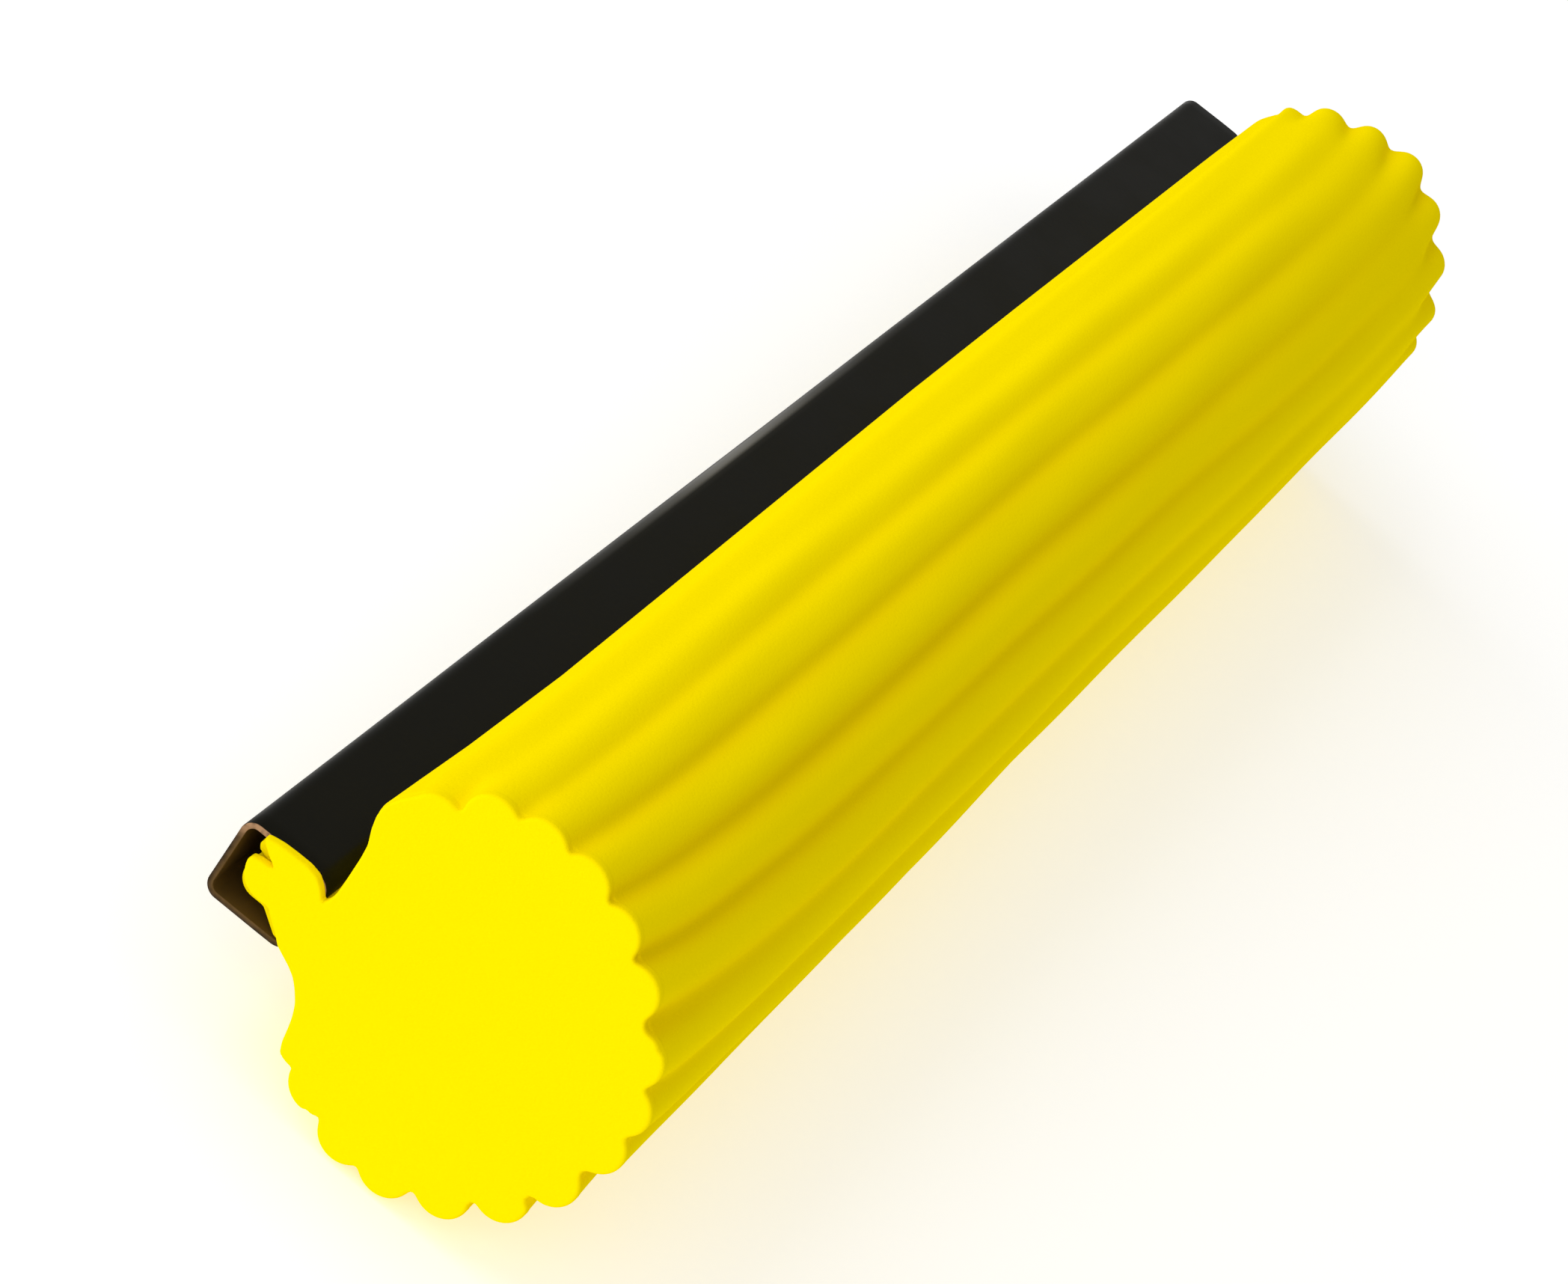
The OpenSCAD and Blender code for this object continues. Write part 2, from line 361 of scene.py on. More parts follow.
def outward(rings):
    """Unit normals of clockwise rings in the (h, v) plane: each tangent turned a quarter to its left."""
    tangent = np.roll(rings, -1, -2) - np.roll(rings, 1, -2)
    tangent /= np.linalg.norm(tangent, axis=-1, keepdims=True)
    return np.stack([-tangent[..., 1], tangent[..., 0]], -1)


def bearings(rings):
    """Angles of the rings' points from +v towards +h, from 0 up to a full turn, in radians."""
    return np.arctan2(rings[..., 0], rings[..., 1]) % (2 * math.pi)


def wander(first, second, seed, terms=7):
    """A smooth random field of two parameters, about -1 to 1: a sum of sines with seeded directions and
    phases."""
    rng = np.random.default_rng(seed)
    total = np.zeros(np.broadcast(first, second).shape)
    for _ in range(terms):
        a, b = rng.normal(0, 1, 2)
        total = total + np.sin(a * first + b * second + rng.uniform(0, 2 * math.pi))
    return total / math.sqrt(terms)


# ---------------------------------------------------------------- meshes


def new_piece(name, points, faces, smooth=True):
    """Makes a mesh object at the origin from points in the part's own frame."""
    mesh = bpy.data.meshes.new(name)
    mesh.from_pydata(np.asarray(points).tolist(), [], faces)
    mesh.validate()
    mesh.polygons.foreach_set("use_smooth", np.full(len(mesh.polygons), smooth))
    mesh.update()
    obj = bpy.data.objects.new(name, mesh)
    bpy.context.scene.collection.objects.link(obj)
    return obj


def tube_faces(rings, around):
    """Quads between rings that are stacked along +X, each ring clockwise seen from +X."""
    i, j = np.meshgrid(np.arange(rings - 1), np.arange(around), indexing="ij")
    k = (j + 1) % around
    quads = np.stack([i * around + j, (i + 1) * around + j, (i + 1) * around + k, i * around + k], -1)
    return quads.reshape(-1, 4).tolist()


def give_attribute(obj, name, values):
    """Stores one number for each point of the mesh."""
    attribute = obj.data.attributes.new(name, "FLOAT", "POINT")
    attribute.data.foreach_set("value", np.asarray(values, np.float32).ravel())


def placed(rings, along):
    """Puts (h, v) rings at places along the roll into the part's frame."""
    x = np.broadcast_to(along[:, None], rings.shape[:2])
    return np.stack([x, AXIS_Y - rings[..., 1], AXIS_Z + rings[..., 0]], -1).reshape(-1, 3)


def remove_if_there(*names):
    """Clears pieces of these names, so that an operator can be run again."""
    for name in names:
        if name in bpy.data.objects:
            bpy.data.objects.remove(bpy.data.objects[name], do_unlink=True)


def sponge_stations(sizes):
    """Places of the sponge's rings along X, and how far each is drawn in. A quarter circle of the rim's
    radius rounds both cut ends, even rings lie between them, and three rings stand close together where
    the sponge swells past the rail's end."""
    near = RAIL_END + sizes.proud
    turn = np.radians(np.linspace(0, 90, 7))
    back, drawn = sizes.rim * (1 - np.sin(turn)), sizes.rim * (1 - np.cos(turn))
    body = np.linspace(SPONGE_FAR + sizes.rim, RAIL_END - 0.4 * MM, 128)[1:]
    flare = RAIL_END + np.array([-0.1, 0.08, 0.3]) * MM
    along = np.concatenate([(SPONGE_FAR + back)[::-1], body, flare, near - back, [near]])
    inset = np.concatenate([drawn[::-1], np.zeros(len(body) + len(flare)), drawn, [sizes.rim + 0.05 * MM]])
    return along, inset


def held_rings(sizes, rail, along):
    """The sponge's rings before they wander, and each point's depth below the flutes' tips. The outlines at
    four places are mixed by weights that die away from both ends along e^(-distance / spring). The flutes
    are crisp at the cut ends and on the lower side, and drawn smooth beside the rail."""
    free, crisp, slack = softened_outlines(sizes, rail)
    from_near, from_far = np.maximum(RAIL_END - along, 0), along - SPONGE_FAR
    at_near, at_far = np.exp(-from_near / sizes.spring), np.exp(-2 * from_far / sizes.spring)
    late = smooth_step(along, 100 * MM, -140 * MM) * (1 - at_near - at_far)
    weights = np.stack([at_near, 1 - at_near - at_far - late, late, at_far], 1)
    fresh, drawn = np.tensordot(weights, crisp, 1), np.tensordot(weights, slack, 1)

    angle = np.degrees(bearings(fresh))
    hidden = smooth_step(angle, 175, 205)
    seen = knotted(from_near / MM, CRISP_BY_DISTANCE)[:, None] * knotted(angle, CRISP_BY_ANGLE)
    crispness = seen * (1 - hidden) + 0.8 * hidden
    inner = smooth_step(from_near, 0, 6 * MM) * smooth_step(from_far, 0, 12 * MM)
    crispness = (1 - (1 - crispness) * inner[:, None])[..., None]
    rings = (fresh * crispness + drawn * (1 - crispness))[..., :2]

    # The shoulder beside the rail sinks where the rail pinches the neck hardest
    angle = np.degrees(bearings(rings))
    beside_rail = smooth_step(rings[..., 0], 6 * MM, 12 * MM) * smooth_step(angle, 60, 46)
    rings[..., 1] -= knotted(from_near / MM, SUNK_BY_DISTANCE)[:, None] * MM * beside_rail
    return np.where(along[:, None, None] > RAIL_END, free[None, :, :2], rings), fresh[..., 2]


def wandered(sizes, rings, along):
    """The rings with their flutes wandering a little along the roll: turned by one smooth random field and
    grown by two others, less and less towards the neck, which the rail holds, and towards the flush end."""
    metre = along[:, None]
    angle, reach = bearings(rings), np.hypot(rings[..., 0], rings[..., 1])
    loose = (smooth_step(rings[..., 1], RAIL_LIPS - 1.5 * MM, 11 * MM)
             * smooth_step(RAIL_END - metre, 0, 38 * MM))
    turned = 0.007 * wander(2.2 * angle, 22 * metre, 3) * loose
    grown = (sizes.waver * wander(5.5 * angle, 26 * metre, 11)
             + 0.5 * sizes.waver * wander(17 * angle, 60 * metre, 5)) * loose
    return np.stack([(reach + grown) * np.sin(angle + turned), (reach + grown) * np.cos(angle + turned)], -1)


def build_sponge(sizes, rail):
    """The fluted sponge: a ring of points at each station along the roll, drawn in at both rims and at the
    blade's nicks, which are bell-shaped dents, and closed by a flat face at each end."""
    along, inset = sponge_stations(sizes)
    # The depth below the flutes' tips sets where the painted valley shade goes
    rings, valley_shade = held_rings(sizes, rail, along)
    angle = bearings(rings)
    rings = wandered(sizes, rings, along)
    # The flutes that it lies on are pressed flat on the floor
    rings[..., 0] = np.maximum(rings[..., 0], 0.03 * MM - AXIS_Z)

    dent = np.zeros(angle.shape)
    from_blade = (along[:, None] - along[-1]) / NICK_REACH
    for where, depth in NICKS:
        dent += depth * MM * np.exp(-((angle - where) / NICK_WIDTH) ** 2 - from_blade ** 2)
    # The bulb's rim is rounded half as much as the roll's
    slender = 1 - 0.5 * smooth_step(rings[..., 1], 17 * MM, 22 * MM)
    rings = rings - outward(rings) * (inset[:, None] * slender + dent)[..., None]

    stations, around = angle.shape
    caps = [list(range(around)), list(range((stations - 1) * around, stations * around))[::-1]]
    sponge = new_piece("fluted_sponge", placed(rings, along), tube_faces(stations, around) + caps)
    smooth = np.ones(len(sponge.data.polygons), bool)
    smooth[-2:] = False
    sponge.data.polygons.foreach_set("use_smooth", smooth)
    cut = smooth_step(inset, 0, 0.7 * sizes.rim)
    give_attribute(sponge, "cut", np.broadcast_to(cut[:, None], angle.shape))
    # Painted shade in the flutes' valleys, strongest round the middle of the side and near the flush end
    from_near = np.maximum(RAIL_END - along, 0)
    tone = knotted(np.degrees(angle), VALLEY_SHADE_BY_ANGLE) * knotted(from_near / MM, VALLEY_SHADE_BY_DISTANCE)[:, None]
    give_attribute(sponge, "valley_shade", np.clip(valley_shade * tone, 0, 1))
    return sponge


def strip_lines(rail):
    """The rail's section as two lines, outer and inner: lip, flange, back, flange and lip.
    Each is a row of straight runs and quarter circles, the inner one a strip's thickness inside the outer."""
    half = RAIL_WIDTH / 2
    lines = []
    for inset in (0, rail.strip):
        lip, bend = rail.lip - inset, rail.bend - inset
        lip_centre = (half - rail.lip, RAIL_LIPS + rail.lip)
        bend_centre = (half - rail.bend, RAIL_BACK - rail.bend)
        upper = np.concatenate([arc(bend_centre, bend, 0, 90, CORNER), arc(lip_centre, lip, 90, 180, CORNER)])
        lower = (upper * (-1, 1))[::-1]
        lines.append(np.concatenate([lower, upper]) + (RAIL_MIDDLE, 0))
    return lines


def dense_line(line):
    """Adds points inside the flanges' and the back's straight runs, the same number on every line."""
    share = np.linspace(0, 1, WEB, endpoint=False)[:, None]
    rows = []
    for k, (a, b) in enumerate(zip(line[:-1], line[1:])):
        rows.append(a + (b - a) * share if (k + 1) % CORNER == 0 else a[None])
    return np.concatenate(rows + [line[-1:]])


def rail_outline(rail):
    """The strip's closed outline: the outer line, a flat half ellipse round one edge, the inner line back
    and a half ellipse round the other edge. Also the number of points on a line and on a half ellipse."""
    outer, inner = (dense_line(line) for line in strip_lines(rail))
    turn = np.radians(np.linspace(0, 180, 9))[1:-1, None]
    edges = []
    for k, side in ((-1, -1), (0, 1)):
        centre, arm = (outer[k] + inner[k]) / 2, (outer[k] - inner[k]) / 2
        bulge = 0.45 * np.linalg.norm(arm) * np.array([side, 0])
        edges.append(centre + arm * np.cos(turn) + bulge * np.sin(turn))
    outline = np.concatenate([outer, edges[0], inner[::-1], edges[1][::-1]])
    return outline, len(outer), len(turn)


def rail_stations(rail, ease):
    """Places of the rail's rings along X, and how far each is drawn in at the eased cut ends. They stand
    evenly along the rail, and close together where a screw hole's window is."""
    low, high, window = RAIL_LOW.x, RAIL_HIGH.x, hole_window(rail)
    turn = np.radians(np.linspace(0, 90, 4))
    back, drawn = ease * (1 - np.sin(turn)), ease * (1 - np.cos(turn))
    rows = np.linspace(low + ease, high - ease, 120)[1:-1]
    for x0 in hole_places(rail):
        rows = rows[np.abs(rows - x0) > window + 0.5 * MM]
        rows = np.sort(np.concatenate([rows, x0 + np.linspace(-window, window, WEB + 1)]))
    along = np.concatenate([low + back[::-1], rows, high - back])
    return along, np.concatenate([drawn[::-1], np.zeros(len(rows)), drawn])


def hole_places(rail):
    """Places of the two screw holes along X."""
    return -rail.hole_gap / 2, rail.hole_gap / 2


def hole_window(rail):
    """Half the side of the square of wall that is left out round each screw hole."""
    return RAIL_WIDTH / 2 - rail.bend


def rippled(rail, rings, along):
    """The rail's rings with the faint ripple that rolling leaves in the lips and in the back."""
    metre = along[:, None]
    inwards = np.sign(rings[..., 0] - RAIL_MIDDLE)
    at_lips = smooth_step(rings[..., 1], RAIL_LIPS + 6 * MM, RAIL_LIPS)
    rings[..., 0] -= inwards * at_lips * rail.ripple * (1 + wander(inwards, 30 * metre, 21))
    at_back = smooth_step(rings[..., 1], RAIL_BACK - 5 * MM, RAIL_BACK)
    rings[..., 1] -= at_back * rail.ripple * (1 + wander(rings[..., 0] * 200, 34 * metre, 8)) / 2
    return rings


def rail_ends(rows, around, line, bow):
    """Faces of the rail's cut ends: ladders of quads between the outer and the inner line, and a fan at
    each of the strip's two edges."""
    upper_fan = [line - 1, *range(line, line + bow), line + bow]
    lower_fan = [around - bow - 1, *range(around - bow, around), 0]
    rungs = [[k, k + 1, around - bow - 2 - k, around - bow - 1 - k] for k in range(line - 1)]
    last = (rows - 1) * around
    ends = []
    for face in rungs + [upper_fan, lower_fan]:
        ends += [face, [last + k for k in face[::-1]]]
    return ends


def window_frames(rail, along, around, bow):
    """Each screw hole's place and its window's rims, as point numbers, in the outer and the inner face,
    and which of the wall's quads stay once both windows are left out."""
    kept = np.ones((len(along) - 1, around), bool)
    start = 2 * CORNER + WEB - 2
    mirror = around - bow - 1 - start
    side, none, full = np.arange(WEB), np.zeros(WEB, int), np.full(WEB, WEB)
    windows = []
    for x0 in hole_places(rail):
        row = int(np.argmin(np.abs(along - (x0 - hole_window(rail)))))
        kept[row:row + WEB, start:start + WEB] = False
        kept[row:row + WEB, mirror - WEB:mirror] = False
        i = np.concatenate([side, full, WEB - side, none]) + row
        j = np.concatenate([none, side, full, WEB - side])
        windows.append((x0, [i * around + start + j, i * around + mirror - j]))
    return windows, kept


def painted_bend_highlight(rail, points):
    """A painted highlight streak along the upper bend, fading out across it and towards both ends."""
    bend_h, bend_v = RAIL_MIDDLE + RAIL_WIDTH / 2 - rail.bend, RAIL_BACK - rail.bend
    at_h, at_v = points[:, 2] - AXIS_Z - bend_h, AXIS_Y - points[:, 1] - bend_v
    bearing = np.degrees(np.arctan2(at_h, at_v))
    on_bend = np.abs(np.hypot(at_h, at_v) - rail.bend) < 0.2 * MM
    across = smooth_step(bearing, 28, 45) * smooth_step(bearing, 94, 70)
    return across * on_bend * knotted(points[:, 0] / MM, BEND_HIGHLIGHT_BY_PLACE)


def build_rail(rail):
    """The rail: a strip's outline with rounded sheared edges, carried along the rail, eased at both cut
    ends, and with two screw holes through its back. A drilled patch fills each hole's window."""
    outline, line, bow = rail_outline(rail)
    around = len(outline)
    ease, least_wear_and_reflection = 0.14 * MM, 0.12
    along, inset = rail_stations(rail, ease)
    rings = np.broadcast_to(outline, (len(along), around, 2))
    rings = rippled(rail, rings - outward(rings) * inset[:, None, None], along)
    points = placed(rings, along)

    # The sheared edges are bare metal that also carries painted warm light reflected from the sponge,
    # strongest on the rail's upper, lit side
    sheared = np.zeros((len(along), around))
    sheared[:, line:line + bow] = sheared[:, around - bow:] = 1
    sheared[inset > 0.3 * ease] = 1
    sheared *= least_wear_and_reflection + (1 - least_wear_and_reflection) * smooth_step(outline[:, 0], -1.5 * MM, 1.5 * MM)
    # The inner faces, which get the painted warm bounce light
    inside = np.zeros((len(along), around))
    inside[:, line + bow:around - bow] = 1
    sheared, inside = sheared.ravel(), inside.ravel()

    windows, kept = window_frames(rail, along, around, bow)
    faces = np.array(tube_faces(len(along), around))[kept.ravel()].tolist()
    for x0, (outer_rim, inner_rim) in windows:
        more, depth = drilled_patch(rail, points, x0, (outer_rim, inner_rim))
        number = len(points) + np.arange(len(more)).reshape(-1, 4 * WEB)
        rows = np.concatenate([outer_rim[None], number, inner_rim[None]])
        nearer, farther = rows[:-1], rows[1:]
        quads = np.stack([nearer, np.roll(nearer, -1, 1), np.roll(farther, -1, 1), farther], -1)
        faces += quads.reshape(-1, 4).tolist()
        points = np.concatenate([points, more])
        sheared = np.concatenate([sheared, np.where((depth > 0) & (depth < 1), least_wear_and_reflection, 0)])
        inside = np.concatenate([inside, (depth >= 1).astype(float)])
    made = new_piece("lipped_rail", points, faces + rail_ends(len(along), around, line, bow))
    give_attribute(made, "sheared", sheared)
    give_attribute(made, "inside", inside)
    # Painted highlight along the rail's upper bend
    give_attribute(made, "bend_highlight", painted_bend_highlight(rail, points))
    return made


def drilled_patch(rail, points, x0, frames):
    """The rings of points from a square window's rim in the outer face, in to a round hole, down its
    wall and out to the window's rim in the inner face. A ring t of the way in is the window's rim times
    1 - t and the circle at the same bearings times t. Gives the points and their depths in the strip."""
    ease, bore = 0.15 * MM, rail.hole / 2
    outer, inner = (points[frame] for frame in frames)
    centre = np.array([x0, 0, AXIS_Z + RAIL_MIDDLE])
    bearing = np.arctan2(outer[:, 2] - centre[2], outer[:, 0] - centre[0])
    ray = np.stack([np.cos(bearing), np.zeros(len(bearing)), np.sin(bearing)], 1)
    shares = (0.35, 0.7, 0.9)
    wall = [(bore + ease, 0), (bore + 0.3 * ease, 0.3 * ease), (bore, ease), (bore, rail.strip - ease),
            (bore + 0.3 * ease, rail.strip - 0.3 * ease), (bore + ease, rail.strip)]
    faces_y = outer[:, 1].mean(), inner[:, 1].mean()
    rims = [centre + ray * (bore + ease) + (0, y, 0) for y in faces_y]
    rows = [outer + (rims[0] - outer) * t for t in shares]
    rows += [centre + ray * radius + (0, faces_y[0] + down * (faces_y[1] - faces_y[0]) / rail.strip, 0)
             for radius, down in wall]
    rows += [inner + (rims[1] - inner) * t for t in shares[::-1]]
    depth = [0] * len(shares) + [down / rail.strip for _, down in wall] + [1] * len(shares)
    return np.concatenate(rows), np.repeat(depth, len(outer))


def build_nuts(nuts, rail):
    """Two square nuts: a square block with eased edges and a screw-shaped bore. A ray at each angle leaves
    the block where |cos|^power + |sin|^power is 1. The bore's radius at a height and an angle is the
    thread's own radius less a triangle wave of height over pitch plus the share of a turn."""
    size = NUTS_HIGH.z - NUTS_LOW.z
    around, rows, power = 96, 40, 14
    ease, thread_depth, mouth_ease = 0.25 * MM, 0.38 * MM, 0.12 * MM
    turn = np.arange(around) / around * 2 * math.pi
    square = size / 2 / (np.abs(np.cos(turn)) ** power + np.abs(np.sin(turn)) ** power) ** (1 / power)
    level = np.linspace(0, NUT_THICK, rows)
    wave = np.abs(((level[:, None] / nuts.pitch + turn[None] / (2 * math.pi)) % 1) * 2 - 1)
    from_face = np.minimum(level, NUT_THICK - level)[:, None]
    bore = nuts.thread / 2 - thread_depth * wave
    bore = np.maximum(bore, nuts.thread / 2 + mouth_ease - from_face * 1.1)
    side = ((0, 0.6 * ease), (0.35 * ease, 0.15 * ease), (ease, 0), (NUT_THICK - ease, 0),
            (NUT_THICK - 0.35 * ease, 0.3 * ease), (NUT_THICK, ease))
    radius = np.stack([square - shrink for _, shrink in side] + [*bore[::-1]])
    height = np.concatenate([[height for height, _ in side], level[::-1]])[:, None]
    height = np.broadcast_to(height, radius.shape)
    i, j = np.meshgrid(np.arange(len(radius)), np.arange(around), indexing="ij")
    n, k = (i + 1) % len(radius), (j + 1) % around
    quads = np.stack([i * around + j, i * around + k, n * around + k, n * around + j], -1).reshape(-1, 4)
    points, faces = [], []
    for number, x0 in enumerate(hole_places(rail)):
        shape = np.stack([x0 + radius * np.cos(turn), NUTS_HIGH.y - height,
                          AXIS_Z + RAIL_MIDDLE + radius * np.sin(turn)], -1)
        points.append(shape.reshape(-1, 3))
        faces += (quads + number * radius.size).tolist()
    made = new_piece("captive_nuts", np.concatenate(points), faces, smooth=False)
    shell = bmesh.new()
    shell.from_mesh(made.data)
    bmesh.ops.recalc_face_normals(shell, faces=shell.faces)
    shell.to_mesh(made.data)
    shell.free()
    return made


# ---------------------------------------------------------------- finishes


def node(tree, kind, at, **values):
    """Adds a node; a keyword sets the property of that name, or else the input socket of that name."""
    made = tree.nodes.new(kind)
    made.location = at
    for name, value in values.items():
        if hasattr(made, name):
            setattr(made, name, value)
        else:
            made.inputs[name.replace("_", " ")].default_value = value
    return made


def new_group(name, inputs, outputs):
    """An empty shader node group with named inputs and outputs."""
    group = bpy.data.node_groups.new(name, "ShaderNodeTree")
    for title, kind, default in inputs:
        socket = group.interface.new_socket(title, in_out="INPUT", socket_type=kind)
        if default is not None:
            socket.default_value = default
    for title, kind in outputs:
        group.interface.new_socket(title, in_out="OUTPUT", socket_type=kind)
    return group, group.nodes.new("NodeGroupInput"), group.nodes.new("NodeGroupOutput")


def grain_group():
    """Fine grain: a height from two sizes of noise and from pores, which are the cells' centres."""
    if "fine_grain" in bpy.data.node_groups:
        return bpy.data.node_groups["fine_grain"]
    group, given, out = new_group(
        "fine_grain",
        [("Vector", "NodeSocketVector", None), ("Scale", "NodeSocketFloat", 900.0),
         ("Pores", "NodeSocketFloat", 0.5), ("Height", "NodeSocketFloat", 1.0)],
        [("Height", "NodeSocketFloat"), ("Pore Mask", "NodeSocketFloat")])
    link = group.links.new
    noise = node(group, "ShaderNodeTexNoise", (0, 200), Detail=4.0, Roughness=0.62)
    cells = node(group, "ShaderNodeTexVoronoi", (0, -100), feature="F1", Randomness=1.0)
    dots = node(group, "ShaderNodeMapRange", (200, -100), interpolation_type="SMOOTHSTEP",
                From_Min=0.12, From_Max=0.42, To_Min=1.0, To_Max=0.0)
    share = node(group, "ShaderNodeMath", (400, -100), operation="MULTIPLY")
    less = node(group, "ShaderNodeMath", (600, 100), operation="SUBTRACT")
    scaled = node(group, "ShaderNodeMath", (800, 100), operation="MULTIPLY")
    for texture in (noise, cells):
        link(given.outputs["Vector"], texture.inputs["Vector"])
        link(given.outputs["Scale"], texture.inputs["Scale"])
    link(cells.outputs["Distance"], dots.inputs["Value"])
    link(dots.outputs["Result"], share.inputs[0])
    link(given.outputs["Pores"], share.inputs[1])
    link(noise.outputs["Fac"], less.inputs[0])
    link(share.outputs[0], less.inputs[1])
    link(less.outputs[0], scaled.inputs[0])
    link(given.outputs["Height"], scaled.inputs[1])
    link(scaled.outputs[0], out.inputs["Height"])
    link(share.outputs[0], out.inputs["Pore Mask"])
    return group


def tone_group():
    """Uneven tone: mixes two colours by slow clouds."""
    if "uneven_tone" in bpy.data.node_groups:
        return bpy.data.node_groups["uneven_tone"]
    group, given, out = new_group(
        "uneven_tone",
        [("Vector", "NodeSocketVector", None), ("Scale", "NodeSocketFloat", 20.0),
         ("Amount", "NodeSocketFloat", 0.3), ("Base", "NodeSocketColor", None),
         ("Patch", "NodeSocketColor", None)],
        [("Color", "NodeSocketColor"), ("Mask", "NodeSocketFloat")])
    link = group.links.new
    clouds = node(group, "ShaderNodeTexNoise", (0, 0), Detail=3.0, Roughness=0.5)
    spread = node(group, "ShaderNodeMapRange", (200, 0), interpolation_type="SMOOTHSTEP",
                  From_Min=0.35, From_Max=0.7)
    share = node(group, "ShaderNodeMath", (400, 0), operation="MULTIPLY")
    mix = node(group, "ShaderNodeMix", (600, 0), data_type="RGBA")
    link(given.outputs["Vector"], clouds.inputs["Vector"])
    link(given.outputs["Scale"], clouds.inputs["Scale"])
    link(clouds.outputs["Fac"], spread.inputs["Value"])
    link(spread.outputs["Result"], share.inputs[0])
    link(given.outputs["Amount"], share.inputs[1])
    link(share.outputs[0], mix.inputs["Factor"])
    link(given.outputs["Base"], mix.inputs["A"])
    link(given.outputs["Patch"], mix.inputs["B"])
    link(mix.outputs["Result"], out.inputs["Color"])
    link(share.outputs[0], out.inputs["Mask"])
    return group


def placed_group(tree, group, at, **values):
    """Places a shared group in a material with its own values."""
    made = tree.nodes.new("ShaderNodeGroup")
    made.node_tree = group
    made.location = at
    for name, value in values.items():
        made.inputs[name.replace("_", " ")].default_value = value
    return made


def rgba(tint):
    """A colour property as a shader colour."""
    return (*tint, 1.0)


def new_material(name):
    """An empty material with its Principled shader and its object coordinates."""
    if name in bpy.data.materials:
        bpy.data.materials.remove(bpy.data.materials[name])
    material = bpy.data.materials.new(name)
    material.use_nodes = True
    tree = material.node_tree
    return material, tree, tree.nodes["Principled BSDF"], node(tree, "ShaderNodeTexCoord", (-1200, 0))


def mixed(tree, at, factor, first, second):
    """Mixes two colours, or sockets that carry one, by a factor socket."""
    made = node(tree, "ShaderNodeMix", at, data_type="RGBA")
    tree.links.new(factor, made.inputs["Factor"])
    for title, value in (("A", first), ("B", second)):
        socket = [s for s in made.inputs if s.name == title and s.type == "RGBA"][0]
        if isinstance(value, tuple):
            socket.default_value = value
        else:
            tree.links.new(value, socket)
    return [s for s in made.outputs if s.type == "RGBA"][0]


def mask(tree, name, at):
    """The mask that a piece carries in the attribute of this name."""
    return node(tree, "ShaderNodeAttribute", at, attribute_name=name).outputs["Fac"]


def follow_place(tree, place, *groups):
    """Hangs shared groups on the piece's object coordinates."""
    for group in groups:
        tree.links.new(place.outputs["Object"], group.inputs["Vector"])


def bumped(tree, shader, grain, at, strength, distance):
    """Turns a grain's height into a bump of the shader's normal."""
    bump = node(tree, "ShaderNodeBump", at, Strength=strength, Distance=distance)
    tree.links.new(grain.outputs["Height"], bump.inputs["Height"])
    tree.links.new(bump.outputs["Normal"], shader.inputs["Normal"])


def cloudy_roughness(tree, shader, tone, at, low, high):
    """Lets the shader's roughness follow the uneven tone, from low up to high."""
    uneven = node(tree, "ShaderNodeMapRange", at, To_Min=low, To_Max=high)
    tree.links.new(tone.outputs["Mask"], uneven.inputs["Value"])
    tree.links.new(uneven.outputs["Result"], shader.inputs["Roughness"])


def sponge_finish(finishes):
    """Damp cellular sponge: a smooth skin, with painted shade in the flutes' valleys, and paler where it was
    cut.
    """
    material, tree, shader, place = new_material("cellular_sponge")
    tone = placed_group(tree, tone_group(), (-900, 200), Scale=24.0, Amount=0.35,
                        Base=rgba(finishes.skin), Patch=rgba([c * 0.97 for c in finishes.skin]))
    grain = placed_group(tree, grain_group(), (-900, -100), Scale=1500.0, Pores=0.35, Height=1.0)
    follow_place(tree, place, tone, grain)
    valley_shade, cut = mask(tree, "valley_shade", (-1200, -300)), mask(tree, "cut", (-1200, -500))
    # Painted shade mixed into the flutes' valleys
    shaded = mixed(tree, (-600, 100), valley_shade, tone.outputs["Color"], rgba(finishes.valley_shade))
    sawn = mixed(tree, (-400, 100), cut, shaded, rgba(finishes.cut))
    tree.links.new(sawn, shader.inputs["Base Color"])
    bumped(tree, shader, grain, (-400, -200), strength=0.25, distance=0.2 * MM)
    shader.inputs["Roughness"].default_value = 0.85
    shader.inputs["Specular IOR Level"].default_value = 0.0
    return material


